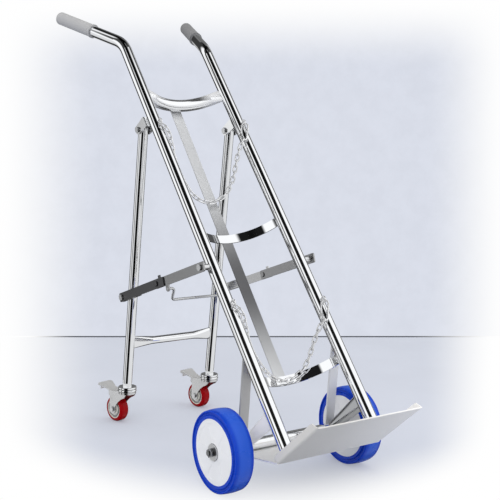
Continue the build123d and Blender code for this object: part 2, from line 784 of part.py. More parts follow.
with BuildPart() as caster_top:
    with BuildSketch(caster_level(top_race_from)):
        Circle(race_d / 2)
    extrude(amount=race_top)
    fillet(edges(), race_round)
    with BuildSketch(caster_level(fork_crown - race_gap)):
        Circle(king_d / 2)
    extrude(amount=leg_low - fork_crown + race_gap)
    with BuildSketch(caster_level(fork_crown - race_gap)):
        Circle(king_head_d / 2)
    extrude(amount=-king_head)
save_pair(caster_top.part, "caster_top")

with BuildPart() as stem_nuts:
    with BuildSketch(caster_level(nut_from)):
        RegularPolygon(stem_nut_af / 2, 6, major_radius=False)
        Circle(king_d / 2, mode=Mode.SUBTRACT)
    extrude(amount=stem_nut)
    mirror(about=Plane.YZ)
save(stem_nuts.part, "caster_stem_nuts")

with BuildPart() as race:
    with BuildSketch(caster_level(race_from)):
        Circle(race_d / 2)
        Circle(king_d / 2 + king_fit, mode=Mode.SUBTRACT)
    extrude(amount=race_low)
    outer_rims = edges().filter_by(GeomType.CIRCLE).group_by(SortBy.RADIUS)[-1]
    fillet(outer_rims, race_round)
save_caster(race.part, "caster_race")

fork_in = caster_wide / 2 + fork_gap
fork_out = fork_in + fork_sheet
cheek_front = sqrt((fork_cup_d / 2) ** 2 - fork_out ** 2)
with BuildPart() as fork:
    for cheek_at in (-fork_out, fork_in):
        with BuildSketch(caster_side(cheek_at)):
            with Locations((caster_trail, caster_d / 2)):
                Circle(fork_nose)
            with Locations((pedal_pivot_back, pedal_pivot_high)):
                Circle(pedal_eye + fork_sheet)
            with Locations((-cheek_front, fork_crown)):
                Rectangle(cheek_front + fork_back, fork_cup, align=(Align.MIN, Align.MAX))
            make_hull()
            with Locations((-fork_hollow_front, fork_hollow_high)):
                Circle(fork_hollow, mode=Mode.SUBTRACT)
            with Locations((caster_trail, caster_d / 2)):
                Circle(fork_nose)
                Circle(caster_axle_d / 2, mode=Mode.SUBTRACT)
            with Locations((pedal_pivot_back, pedal_pivot_high)):
                Circle(pedal_pin_d / 2, mode=Mode.SUBTRACT)
        extrude(amount=fork_sheet)
    with BuildSketch(caster_level(fork_crown)):
        Circle(fork_cup_d / 2)
        Circle(fork_cup_d / 2 - fork_sheet, mode=Mode.SUBTRACT)
    extrude(amount=-fork_cup)
    with BuildSketch(caster_level(fork_crown)):
        Circle(fork_cup_d / 2)
        Rectangle(2 * fork_out, fork_back, align=(Align.CENTER, Align.MIN))
        Circle(king_d / 2 + king_fit, mode=Mode.SUBTRACT)
    extrude(amount=fork_sheet)
save_caster(fork.part, "caster_fork")

with BuildPart() as caster_pins:
    add(across(-leg_x - fork_out, -leg_x + fork_out, caster_axle, caster_axle_d))
    add(hexagon(-leg_x - fork_out, -leg_x - fork_out - caster_head, caster_axle, caster_head_d))
    add(hexagon(-leg_x + fork_out, -leg_x + fork_out + caster_head, caster_axle, caster_head_d))
    add(across(-leg_x - fork_out, -leg_x + fork_out, pedal_pivot, pedal_pin_d))
save_caster(caster_pins.part, "caster_pins")

caster_plane = Plane(origin=caster_axle, x_dir=(1, 0, 0), z_dir=(0, -1, 0))
caster_axis = Axis(caster_axle, (1, 0, 0))
with BuildPart() as caster_tyre:
    with BuildSketch(caster_plane):
        with Locations((0, caster_rim_d / 2)):
            Rectangle(caster_wide, (caster_d - caster_rim_d) / 2, align=(Align.CENTER, Align.MIN))
        fillet(vertices().group_by(Axis.Y)[-1], caster_round)
    revolve(axis=caster_axis)
save_caster(caster_tyre.part, "caster_tyre")

with BuildPart() as caster_rim:
    with BuildSketch(caster_plane):
        rim_bore = caster_axle_d / 2 + caster_fit
        with Locations((0, rim_bore)):
            Rectangle(caster_wide - 2 * caster_rim_step, caster_rim_d / 2 - rim_bore,
                      align=(Align.CENTER, Align.MIN))
        for dish_side in (-1, 1):
            with Locations((dish_side * caster_wide / 2, caster_dish_in / 2)):
                Rectangle(2 * caster_dish, (caster_dish_out - caster_dish_in) / 2,
                          align=(Align.CENTER, Align.MIN), mode=Mode.SUBTRACT)
    revolve(axis=caster_axis)
save_caster(caster_rim.part, "caster_rim")

# Brake pedal: an eye on the pin, a lever to the rear, a shoe over the tyre and a tab below the tip
pedal_run = pedal_tip_back - pedal_pivot_back
pedal_climb = pedal_tip_high - pedal_pivot_high
pedal_length = hypot(pedal_run, pedal_climb)
pedal_flare = pedal_length * (pedal_flare_back - pedal_pivot_back) / pedal_run
lever_plane = Plane(origin=pedal_pivot, x_dir=(0, pedal_run, pedal_climb),
                    z_dir=(0, -pedal_climb, pedal_run))
with BuildPart() as pedal:
    with BuildSketch(lever_plane):
        with BuildLine():
            Polyline((0, -pedal_wide / 2), (pedal_flare, -pedal_wide / 2),
                     (pedal_length, -pedal_tip_wide / 2), (pedal_length, pedal_tip_wide / 2),
                     (pedal_flare, pedal_wide / 2), (0, pedal_wide / 2), close=True)
        lever = make_face()
        fillet(lever.vertices().group_by(Axis.X)[-1], pedal_corner)
    extrude(amount=pedal_thick)
    with BuildSketch(lever_plane.offset(-pedal_tab)):
        with Locations((pedal_length - pedal_corner, 0)):
            Rectangle(pedal_tab_thick, pedal_wide, align=(Align.MAX, Align.CENTER))
    extrude(amount=pedal_tab + pedal_thick / 2)
    with BuildSketch(caster_side(-pedal_wide / 2)):
        with Locations((pedal_pivot_back, pedal_pivot_high)):
            Circle(pedal_eye)
        with Locations((pedal_shoe_back, pedal_shoe_low)):
            Rectangle(pedal_shoe, pedal_pivot_high + pedal_eye - pedal_shoe_low,
                      align=(Align.MIN, Align.MIN))
    extrude(amount=pedal_wide)
    add(across(-leg_x - pedal_wide, -leg_x + pedal_wide, pedal_pivot, pedal_pin_d + 2 * caster_fit),
        mode=Mode.SUBTRACT)
save_caster(pedal.part, "brake_pedal")

# Chain eyes on the front of the main tubes
eye_front = -(tube_r + eye_ring - eye_bite)
with BuildPart() as eyes:
    for eye_x, eye_up in ((-tube_x, upper_eye_up), (tube_x, upper_eye_up),
                          (-tube_x, lower_left_eye_up), (tube_x, lower_right_eye_up)):
        eye_centre = at(eye_x, eye_up, eye_front)
        with BuildSketch(Plane(origin=eye_centre, x_dir=back_dir, z_dir=along_dir)):
            with Locations((eye_ring, 0)):
                Circle(eye_wire / 2)
        revolve(axis=Axis(eye_centre, (1, 0, 0)))
    add(tube_cores.part, mode=Mode.SUBTRACT)
save(eyes.part, "chain_eyes")

# Snap hooks. Each hangs from a right eye, flat along the inner front of the tube.
hook_dir = (Vector(-hook_in, 0, 0) - along_dir * hook_down + back_dir * hook_back).normalized()
hook_face = (Vector(-hook_back, 0, 0) - back_dir * hook_in).normalized()
hook_way = hook_face.cross(hook_dir)
hook_pull = (back_dir * hook_back - along_dir * hook_down).normalized()
hook_r = (hook_wide - hook_wire) / 2
hook_half = (hook_long - hook_wide) / 2
hinge_at = hook_gap / 2
cheek_inner = hook_eye_wide / 2 + hook_play
cheek_outer = cheek_inner + hook_cheek
cheek_r = hook_eye_r + hook_play


def hook_top(eye_up):
    """The middle of the hook's wire where it hangs in the eye."""
    seat = eye_ring - (eye_wire + hook_wire) / 2 - hook_hang
    return at(tube_x, eye_up, eye_front) + hook_pull * seat + hook_way * hook_shift


def hook_plane(eye_up):
    """A plane in the hook's middle, with local X down the hook and local Y across it."""
    middle = hook_top(eye_up) + hook_dir * (hook_long - hook_wire) / 2
    return Plane(origin=middle, x_dir=hook_dir, z_dir=hook_face)


def snap_hook(eye_up):
    plane = hook_plane(eye_up)
    wire_from = hinge_at + cheek_r
    with BuildPart() as hook:
        with BuildLine(plane):
            Line((wire_from, -hook_r), (hook_half, -hook_r))
            ThreePointArc((hook_half, -hook_r), (hook_half + hook_r, 0), (hook_half, hook_r))
            Line((hook_half, hook_r), (-hook_half, hook_r))
            ThreePointArc((-hook_half, hook_r), (-hook_half - hook_r, 0), (-hook_half, -hook_r))
            Line((-hook_half, -hook_r), (-hinge_at, -hook_r))
        with BuildSketch(Plane(origin=plane.from_local_coords((wire_from, -hook_r, 0)), z_dir=hook_dir)):
            Circle(hook_wire / 2)
        sweep()
        with BuildSketch(plane.offset(-cheek_outer)):
            with Locations((hinge_at, -hook_r)):
                Circle(cheek_r)
                Rectangle(cheek_r + hook_wire / 2, 2 * cheek_r, align=(Align.MIN, Align.CENTER))
        extrude(amount=2 * cheek_outer)
        with BuildSketch(plane.offset(-cheek_inner)):
            with Locations((hinge_at, -hook_r)):
                Circle(cheek_r)
                Rectangle(2 * cheek_r, 2 * cheek_r, align=(Align.MAX, Align.CENTER))
        extrude(amount=2 * cheek_inner, mode=Mode.SUBTRACT)
        with BuildSketch(plane.offset(-cheek_outer)):
            with Locations((hinge_at, -hook_r)):
                Circle(hook_pin_d / 2)
        extrude(amount=2 * cheek_outer)
    return hook.part


def hook_gate(eye_up):
    plane = hook_plane(eye_up)
    bar_from = hinge_at - cheek_r - hook_play
    with BuildPart() as gate:
        with BuildSketch(plane.offset(-hook_eye_wide / 2)):
            with Locations((hinge_at, -hook_r)):
                Circle(hook_eye_r)
                Rectangle(cheek_r + hook_play + gate_d / 2, gate_d - hook_play,
                          align=(Align.MAX, Align.CENTER))
        extrude(amount=hook_eye_wide)
        add(bar(plane.from_local_coords((bar_from, -hook_r, 0)),
                plane.from_local_coords((hook_play - hinge_at, -hook_r, 0)), gate_d))
        with BuildSketch(plane.offset(-hook_eye_wide)):
            with Locations((hinge_at, -hook_r)):
                Circle(hook_pin_d / 2 + hook_pin_fit)
        extrude(amount=2 * hook_eye_wide, mode=Mode.SUBTRACT)
    return gate.part


save(snap_hook(upper_eye_up), "upper_snap_hook")
save(hook_gate(upper_eye_up), "upper_hook_gate")
save(snap_hook(lower_right_eye_up), "lower_snap_hook")
save(hook_gate(lower_right_eye_up), "lower_hook_gate")

# Safety chains. A route hangs from the left eye to the snap hook on the right eye: its points
# are a share of the half spacing across, then the height above the axle and the depth behind
# the tubes.
upper_route = [(-0.91, 838, -20.5), (-0.835, 806, -5), (-0.79, 763, 18), (-0.67, 712, 40),
               (-0.44, 666, 58), (-0.05, 654, 65), (0.3, 676, 52), (0.6, 742, 22)]
lower_route = [(-0.91, 272, -20.5), (-0.835, 241, -4), (-0.78, 203, 19), (-0.62, 160, 42),
               (-0.36, 127, 63), (0, 115.5, 75), (0.35, 130, 62), (0.6, 172, 34)]
chain_pitch = chain_link - 2 * chain_wire - chain_slack
link_half = (chain_link - chain_link_wide) / 2
link_r = (chain_link_wide - chain_wire) / 2
link_grip = chain_link / 2 - chain_wire - chain_slack

with BuildPart() as link:
    with BuildLine():
        Line((-link_half, -link_r), (link_half, -link_r))
        ThreePointArc((link_half, -link_r), (link_half + link_r, 0), (link_half, link_r))
        Line((link_half, link_r), (-link_half, link_r))
        ThreePointArc((-link_half, link_r), (-link_half - link_r, 0), (-link_half, -link_r))
    with BuildSketch(Plane(origin=(-link_half, -link_r, 0), z_dir=(1, 0, 0))):
        Circle(chain_wire / 2)
    sweep()


def chain(left_up, right_up, route):
    """Links set along a smooth curve, turned a quarter from one to the next."""
    start = at(-tube_x, left_up, eye_front) + hook_pull * eye_ring
    end = hook_top(right_up) + hook_dir * (hook_long - hook_wire)
    stops = [at(share * tube_x, along, behind) for share, along, behind in route]
    curve = Spline(start, *stops, end, mode=Mode.PRIVATE)
    first = link_grip - eye_wire / 2
    last = curve.length - link_grip + hook_wire / 2
    count = 2 * ceil(((last - first) / chain_pitch + 1) / 2)
    last_way = curve % (last / curve.length)
    across_way = last_way.cross(back_dir).normalized()
    turn = degrees(atan2(across_way.cross(hook_way).dot(last_way), across_way.dot(hook_way)))
    turn = (turn + 90) % 180 - 90
    with BuildPart() as links:
        for index in range(count):
            share = index / (count - 1)
            place = (first + (last - first) * share) / curve.length
            way = curve % place
            flat = (back_dir - way * back_dir.dot(way)).normalized()
            roll = radians(90 * index + turn * share)
            normal = flat * cos(roll) + way.cross(flat) * sin(roll)
            with Locations(Plane(origin=curve @ place, x_dir=way, z_dir=normal).location):
                add(link.part)
    return links.part


save(chain(upper_eye_up, upper_eye_up, upper_route), "upper_chain")
save(chain(lower_left_eye_up, lower_right_eye_up, lower_route), "lower_chain")
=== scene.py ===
import json
import math
import bpy
from mathutils import Matrix, Vector


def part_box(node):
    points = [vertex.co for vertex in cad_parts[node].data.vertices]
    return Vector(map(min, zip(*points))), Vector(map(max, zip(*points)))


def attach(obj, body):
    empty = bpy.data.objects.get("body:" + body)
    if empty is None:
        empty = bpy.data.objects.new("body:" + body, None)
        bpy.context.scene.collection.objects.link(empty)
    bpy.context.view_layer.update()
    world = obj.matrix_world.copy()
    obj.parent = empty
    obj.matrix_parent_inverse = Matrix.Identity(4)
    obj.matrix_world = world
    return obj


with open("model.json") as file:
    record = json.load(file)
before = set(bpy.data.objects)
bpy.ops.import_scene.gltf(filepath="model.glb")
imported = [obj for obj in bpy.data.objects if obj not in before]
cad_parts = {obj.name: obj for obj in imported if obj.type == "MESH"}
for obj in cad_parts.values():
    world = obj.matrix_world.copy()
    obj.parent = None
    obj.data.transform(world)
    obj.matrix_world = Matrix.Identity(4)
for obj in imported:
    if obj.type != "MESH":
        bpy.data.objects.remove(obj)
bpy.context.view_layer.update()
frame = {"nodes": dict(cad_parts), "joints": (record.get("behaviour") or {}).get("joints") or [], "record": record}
nodes = frame["nodes"]
joints = {joint["name"]: joint for joint in frame["joints"]}
sides = ("left", "right")
white = (1, 1, 1, 1)
print("frame loaded:", len(nodes), "nodes")

scene = bpy.context.scene
scene.view_settings.view_transform = "Standard"

# the photographer's place: metres, degrees
shot = {
    "place": (-1.39136, -2.14238, 0.84691),
    "turn": 34.37,
    "down": 6.94,
    "roll": 0.75,
    "lens": 69.39,
    "sensor": 36.0,
    "picture": 500,            # pixels along a side of the picture
}


def shotAxes():
    turn = math.radians(shot["turn"])
    down = math.radians(shot["down"])
    roll = math.radians(shot["roll"])
    look = Vector((math.sin(turn) * math.cos(down), math.cos(turn) * math.cos(down), -math.sin(down)))
    right = Vector((math.cos(turn), -math.sin(turn), 0))
    up = right.cross(look)
    return look, right * math.cos(roll) + up * math.sin(roll), up * math.cos(roll) - right * math.sin(roll)


look, lookRight, lookUp = shotAxes()
cameraData = bpy.data.cameras.new("shotCamera")
cameraData.lens = shot["lens"]
cameraData.sensor_width = shot["sensor"]
camera = bpy.data.objects.new("shotCamera", cameraData)
scene.collection.objects.link(camera)
pose = Matrix((lookRight, lookUp, -look)).transposed().to_4x4()
pose.translation = Vector(shot["place"])
camera.matrix_world = pose
scene.camera = camera
print("camera set")


# small node helpers
def feed(tree, socket, value):
    if isinstance(value, bpy.types.NodeSocket):
        tree.links.new(value, socket)
    else:
        socket.default_value = value


def put(tree, kind, values=None, **settings):
    made = tree.nodes.new("ShaderNode" + kind)
    for key, value in settings.items():
        setattr(made, key, value)
    for key, value in (values or {}).items():
        feed(tree, made.inputs[key], value)
    return made


def calc(tree, operation, first, second=0.0, third=0.0):
    return put(tree, "Math", {0: first, 1: second, 2: third}, operation=operation).outputs[0]


def dot(tree, first, second):
    return put(tree, "VectorMath", {0: first, 1: second}, operation="DOT_PRODUCT").outputs["Value"]


def ramp(tree, value, low, high, toLow=0.0, toHigh=1.0):
    made = put(tree, "MapRange", {"Value": value, "From Min": low, "From Max": high,
                                  "To Min": toLow, "To Max": toHigh}, interpolation_type="SMOOTHSTEP")
    return made.outputs["Result"]


def noise(tree, vector, scale, detail, roughness):
    made = put(tree, "TexNoise", {"Vector": vector, "Scale": scale, "Detail": detail, "Roughness": roughness})
    return made.outputs["Fac"]


def mixColor(tree, share, first, second):
    made = put(tree, "Mix", data_type="RGBA")
    for key, value in ((0, share), (6, first), (7, second)):
        feed(tree, made.inputs[key], value)
    return made.outputs[2]


def toned(tree, colour, pattern, span, tones):
    value = ramp(tree, pattern, *span, *tones)
    return put(tree, "HueSaturation", {"Color": colour, "Value": value}).outputs[0]


def darker(colour, share):
    return tuple(part * share for part in colour[:3]) + (1,)


def fadeAside(tree, aside, fade):
    return calc(tree, "MULTIPLY", ramp(tree, aside, *fade["left"]),
                ramp(tree, aside, *fade["right"], 1.0, 0.0))


def newGroup(name, inputs, outputs):
    group = bpy.data.node_groups.new(name, "ShaderNodeTree")
    for label, kind, value in inputs:
        socket = group.interface.new_socket(label, in_out="INPUT", socket_type="NodeSocket" + kind)
        if value is not None:
            socket.default_value = value
    for label, kind in outputs:
        group.interface.new_socket(label, in_out="OUTPUT", socket_type="NodeSocket" + kind)
    return group, group.nodes.new("NodeGroupInput"), group.nodes.new("NodeGroupOutput")


def place(tree, group, values):
    made = tree.nodes.new("ShaderNodeGroup")
    made.node_tree = group
    for key, value in values.items():
        feed(tree, made.inputs[key], value)
    return made.outputs


# studio: pale room with dark gaps between the soft boxes
studio = {
    "wall": (0.690, 0.720, 0.805, 1),
    "plaster": {"scale": 48.0, "detail": 6.0, "roughness": 0.68},
    "span": (0.3, 0.7),        # of the plaster's pattern, and the tones it gives
    "tones": (0.985, 1.03),
    "boxTint": (0.98, 0.99, 1, 1),
    "boxes": 1.15,             # soft boxes, as the polished tubes see them
    "below": 0.85,             # and the floor under them
    "meet": 0.06,
    "ambient": 0.88,           # room light on matt surfaces
    "gaps": [                  # compass direction, half width, softness, how dark
        (-135, 0.38, 0.13, 0.99),
        (163, 0.14, 0.2, 0.94),
        (56, 0.28, 0.4, 0.85),
        (98, 0.34, 0.4, 0.96),
        (18, 0.20, 0.3, 0.92),
    ],
    "lowGaps": [               # the same below the horizon, where the upright legs look
        (-138, 0.42, 0.35, 0.95),
    ],
    "front": (-0.05, 0.1),     # keeps a gap to its own side of the room
    "horizon": (-0.24, -0.14),
    "ceiling": {"height": (0.80, 0.93), "compass": -123, "soft": 0.1, "dark": 0.80},   # left of the first gap
    "edges": {"left": (-0.265, -0.15), "right": (0.18, 0.272), "top": (0.185, 0.262)},   # the wall fades here
    "leastAhead": 0.05,
}


def flatWay(compass):
    angle = math.radians(compass)
    return Vector((math.cos(angle), math.sin(angle), 0))


def buildGapGroup():
    group, source, result = newGroup(
        "studioGap",
        [("Direction", "Vector", None), ("Along", "Vector", None), ("Across", "Vector", None),
         ("Half Width", "Float", 0.1), ("Soft", "Float", 0.2), ("Dark", "Float", 0.5)],
        [("Dark", "Float")])
    given = source.outputs
    off = calc(group, "ABSOLUTE", dot(group, given["Direction"], given["Across"]))
    share = calc(group, "DIVIDE", off, given["Half Width"])
    strip = ramp(group, share, calc(group, "SUBTRACT", 1.0, given["Soft"]),
                 calc(group, "ADD", 1.0, given["Soft"]), 1.0, 0.0)
    front = ramp(group, dot(group, given["Direction"], given["Along"]), *studio["front"])
    dark = calc(group, "MULTIPLY", calc(group, "MULTIPLY", strip, front), given["Dark"])
    group.links.new(dark, result.inputs["Dark"])
    return group


def dim(tree, light, shade):
    return calc(tree, "MULTIPLY", light, calc(tree, "SUBTRACT", 1.0, shade))


def boxLight(tree, ray):
    gap = buildGapGroup()
    height = dot(tree, ray, (0, 0, 1))
    low = ramp(tree, height, *studio["horizon"], 1.0, 0.0)
    light = 1.0
    for isLow, gaps in ((False, studio["gaps"]), (True, studio["lowGaps"])):
        for compass, half, soft, dark in gaps:
            made = place(tree, gap, {"Direction": ray, "Half Width": half, "Soft": soft, "Dark": dark,
                                     "Along": flatWay(compass), "Across": flatWay(compass + 90)})
            shade = made["Dark"]
            if isLow:
                shade = calc(tree, "MULTIPLY", shade, low)
            light = dim(tree, light, shade)
    ceiling = studio["ceiling"]
    aside = dot(tree, ray, flatWay(ceiling["compass"] + 90))
    above = ramp(tree, height, *ceiling["height"], 0.0, ceiling["dark"])
    shade = calc(tree, "MULTIPLY", above, ramp(tree, aside, -ceiling["soft"], ceiling["soft"], 1.0, 0.0))
    level = ramp(tree, height, -studio["meet"], studio["meet"], studio["below"], studio["boxes"])
    return calc(tree, "MULTIPLY", dim(tree, light, shade), level)


def seenWall(tree, ray):
    ahead = calc(tree, "MAXIMUM", dot(tree, ray, look), studio["leastAhead"])
    aside = calc(tree, "DIVIDE", dot(tree, ray, lookRight), ahead)
    rise = calc(tree, "DIVIDE", dot(tree, ray, lookUp), ahead)
    edges = studio["edges"]
    keep = calc(tree, "MULTIPLY", fadeAside(tree, aside, edges), ramp(tree, rise, *edges["top"], 1.0, 0.0))
    plaster = noise(tree, ray, **studio["plaster"])
    wall = toned(tree, studio["wall"], plaster, studio["span"], studio["tones"])
    return mixColor(tree, keep, white, wall)


def buildWorld():
    world = bpy.data.worlds.new("studioWorld")
    scene.world = world
    world.use_nodes = True
    tree = world.node_tree
    tree.nodes.clear()
    ray = put(tree, "TexCoord").outputs["Generated"]
    room = put(tree, "Background", {"Color": white, "Strength": studio["ambient"]}).outputs[0]
    boxes = put(tree, "Background", {"Color": studio["boxTint"], "Strength": boxLight(tree, ray)}).outputs[0]
    back = put(tree, "Background", {"Color": seenWall(tree, ray), "Strength": 1.0}).outputs[0]
    path = put(tree, "LightPath").outputs
    unseen = put(tree, "MixShader", {0: path["Is Glossy Ray"], 1: room, 2: boxes}).outputs[0]
    final = put(tree, "MixShader", {0: path["Is Camera Ray"], 1: unseen, 2: back}).outputs[0]
    tree.links.new(final, put(tree, "OutputWorld").inputs["Surface"])


buildWorld()

lampAim = Vector((0, 0, 0.45))
lamps = {
    "keyLamp": {"place": (-1.9, -1.6, 2.6), "size": 2.6, "power": 25},
    "fillLamp": {"place": (2.2, -1.4, 1.9), "size": 2.4, "power": 12},
    "topLamp": {"place": (0.2, 0.4, 3.0), "size": 2.8, "power": 13},
}
for name, lamp in lamps.items():
    lampData = bpy.data.lights.new(name, "AREA")
    lampData.shape = "DISK"
    lampData.size = lamp["size"]
    lampData.energy = lamp["power"]
    lampObject = bpy.data.objects.new(name, lampData)
    lampObject.location = lamp["place"]
    aim = lampAim - Vector(lamp["place"])
    lampObject.rotation_euler = aim.to_track_quat("-Z", "Y").to_euler()
    lampObject.visible_glossy = False
    scene.collection.objects.link(lampObject)
print("lights set")

# floor up to the wall, with the thin shadow gap where they meet
floorSet = {
    "wallLine": 337.2,         # row of the picture where the wall meets the floor
    "half": 7.0,
    "colour": (0.60, 0.628, 0.705, 1),
    "clouds": {"scale": 2.2, "detail": 5.0, "roughness": 0.6},
    "span": (0.3, 0.7),        # of the clouds' pattern, and the tones it gives
    "tones": (0.97, 1.03),
    "rough": 0.75,
    "gloss": 0.2,
    "seen": (0.635, 0.665, 0.75, 1),   # its own tone in full light
    "lift": 0.40,              # share of that tone, which evens out the shadows
    "left": (-0.265, -0.15),   # where it fades to white, across and towards the camera
    "right": (0.182, 0.262),
    "near": (2.03, 2.41),
    "bow": 5.5,                # the near fade comes in further at the sides
    "leastDepth": 0.3,
}
wallGap = {
    "high": 0.005,
    "colour": (0.10, 0.105, 0.12, 1),
    "rough": 0.9,
    "left": (-0.235, -0.183),
    "right": (0.165, 0.262),
}
flatLook = Vector((look.x, look.y, 0)).normalized()
flatRight = Vector((flatLook.y, -flatLook.x, 0))


def floorPoint(across, down):
    focal = shot["picture"] * shot["lens"] / shot["sensor"]
    middle = shot["picture"] / 2
    ray = look + lookRight * ((across - middle) / focal) + lookUp * ((middle - down) / focal)
    return Vector(shot["place"]) - ray * (shot["place"][2] / ray.z)


def stagePiece(name, corners, material):
    mesh = bpy.data.meshes.new(name)
    mesh.from_pydata([tuple(corner) for corner in corners], [], [(0, 1, 2, 3)])
    mesh.update()
    mesh.materials.append(material)
    made = bpy.data.objects.new(name, mesh)
    scene.collection.objects.link(made)
    made.visible_glossy = False


def stageMaterial(name):
    material = bpy.data.materials.new(name)
    material.use_nodes = True
    tree = material.node_tree
    tree.nodes.clear()
    spot = put(tree, "TexCoord").outputs["Object"]
    foot = Vector((shot["place"][0], shot["place"][1], 0))
    offset = put(tree, "VectorMath", {0: spot, 1: foot}, operation="SUBTRACT").outputs[0]
    depth = dot(tree, offset, flatLook)
    ahead = calc(tree, "MAXIMUM", depth, floorSet["leastDepth"])
    aside = calc(tree, "DIVIDE", dot(tree, offset, flatRight), ahead)
    return material, tree, spot, depth, aside


def fadeToWhite(tree, keep, surface):
    bright = put(tree, "Emission", {"Color": white, "Strength": 1.0}).outputs[0]
    seen = put(tree, "LightPath").outputs["Is Camera Ray"]
    share = calc(tree, "MULTIPLY", calc(tree, "SUBTRACT", 1.0, keep), seen)
    mixed = put(tree, "MixShader", {0: share, 1: surface, 2: bright}).outputs[0]
    tree.links.new(mixed, put(tree, "OutputMaterial").inputs["Surface"])


def floorMaterial():
    material, tree, spot, depth, aside = stageMaterial("paleFloor")
    clouds = noise(tree, spot, **floorSet["clouds"])
    colour = toned(tree, floorSet["colour"], clouds, floorSet["span"], floorSet["tones"])
    matt = put(tree, "BsdfPrincipled", {"Base Color": colour, "Roughness": floorSet["rough"],
                                        "Specular IOR Level": floorSet["gloss"]}).outputs[0]
    even = put(tree, "Emission", {"Color": floorSet["seen"], "Strength": 1.0}).outputs[0]
    lift = calc(tree, "MULTIPLY", put(tree, "LightPath").outputs["Is Camera Ray"], floorSet["lift"])
    lifted = put(tree, "MixShader", {0: lift, 1: matt, 2: even}).outputs[0]
    bow = calc(tree, "MULTIPLY", floorSet["bow"], calc(tree, "MULTIPLY", aside, aside))
    near = ramp(tree, calc(tree, "SUBTRACT", depth, bow), *floorSet["near"])
    fadeToWhite(tree, calc(tree, "MULTIPLY", fadeAside(tree, aside, floorSet), near), lifted)
    return material


def wallGapMaterial():
    material, tree, spot, depth, aside = stageMaterial("wallGapShade")
    shadow = put(tree, "BsdfPrincipled", {"Base Color": wallGap["colour"], "Roughness": wallGap["rough"]})
    fadeToWhite(tree, fadeAside(tree, aside, wallGap), shadow.outputs[0])
    return material


def buildFloor():
    leftEnd = floorPoint(0, floorSet["wallLine"])
    rightEnd = floorPoint(shot["picture"], floorSet["wallLine"])
    far = (leftEnd + rightEnd) / 2
    reach = (rightEnd - leftEnd).normalized() * floorSet["half"]
    near = far - flatLook * 2 * floorSet["half"]
    top = Vector((0, 0, wallGap["high"]))
    stagePiece("floor", [near - reach, near + reach, far + reach, far - reach], floorMaterial())
    stagePiece("wallGap", [far - reach, far + reach, far + reach + top, far - reach + top], wallGapMaterial())


buildFloor()
print("floor set")

# surface effects that several finishes share
marksSet = {
    "broad": {"detail": 6.0, "roughness": 0.62},
    "fine": {"detail": 3.0, "roughness": 0.7},
    "finer": 14.0,             # times the broad pattern's scale
    "broadSpan": (0.45, 0.72),
    "fineSpan": (0.35, 0.75),
}
grainLines = {"scale": 1.0, "detail": 4.0, "roughness": 0.7}
skinSet = {
    "pores": {"detail": 2.0, "roughness": 0.55},
    "cloud": {"detail": 4.0, "roughness": 0.6},
    "coarser": 0.02,           # times the pores' scale
}


def buildMarksGroup():
    group, source, result = newGroup(
        "handlingMarks",
        [("Vector", "Vector", None), ("Scale", "Float", 6.0)],
        [("Marks", "Float"), ("Haze", "Float")])
    spot, scale = source.outputs["Vector"], source.outputs["Scale"]
    broad = noise(group, spot, scale, **marksSet["broad"])
    fine = noise(group, spot, calc(group, "MULTIPLY", scale, marksSet["finer"]), **marksSet["fine"])
    marks = calc(group, "MULTIPLY", ramp(group, broad, *marksSet["broadSpan"]),
                 ramp(group, fine, *marksSet["fineSpan"]))
    group.links.new(marks, result.inputs["Marks"])
    group.links.new(broad, result.inputs["Haze"])
    return group


def buildGrainGroup():
    group, source, result = newGroup(
        "drawnGrain",
        [("Vector", "Vector", None), ("Tilt", "Vector", None), ("Lines", "Vector", (900.0, 20.0, 900.0))],
        [("Grain", "Float")])
    given = source.outputs
    turned = put(group, "VectorRotate", {"Vector": given["Vector"], "Rotation": given["Tilt"]},
                 rotation_type="EULER_XYZ").outputs[0]
    stretched = put(group, "VectorMath", {0: turned, 1: given["Lines"]}, operation="MULTIPLY").outputs[0]
    group.links.new(noise(group, stretched, **grainLines), result.inputs["Grain"])
    return group


def buildSkinGroup():
    group, source, result = newGroup(
        "mouldedSkin",
        [("Vector", "Vector", None), ("Scale", "Float", 900.0)],
        [("Height", "Float"), ("Cloud", "Float")])
    spot, scale = source.outputs["Vector"], source.outputs["Scale"]
    pores = noise(group, spot, scale, **skinSet["pores"])
    cloud = noise(group, spot, calc(group, "MULTIPLY", scale, skinSet["coarser"]), **skinSet["cloud"])
    group.links.new(pores, result.inputs["Height"])
    group.links.new(cloud, result.inputs["Cloud"])
    return group


marksGroup = buildMarksGroup()
grainGroup = buildGrainGroup()
skinGroup = buildSkinGroup()

polish = {"marks": 7.0, "worn": (0.0, 0.6), "haze": 0.94}
satin = {"marks": 9.0, "dull": 0.1, "lines": (900.0, 20.0, 900.0), "span": (0.25, 0.75), "tones": (0.95, 1.0),
         "rougher": (-0.05, 0.06), "bump": {"Distance": 0.0002, "Strength": 0.04}}
moulding = {"dark": 0.88, "span": (0.3, 0.7), "rougher": (-0.05, 0.07),
            "bump": {"Distance": 0.0002, "Strength": 0.2}}


def newMaterial(name):
    material = bpy.data.materials.new(name)
    material.use_nodes = True
    tree = material.node_tree
    return material, tree, tree.nodes["Principled BSDF"].inputs, put(tree, "TexCoord").outputs["Object"]


def linkBump(tree, shader, height, bump):
    made = put(tree, "Bump", {"Height": height, **bump})
    tree.links.new(made.outputs[0], shader["Normal"])


def offMiddle(tree, spot):
    return calc(tree, "ABSOLUTE", dot(tree, spot, (1, 0, 0)))


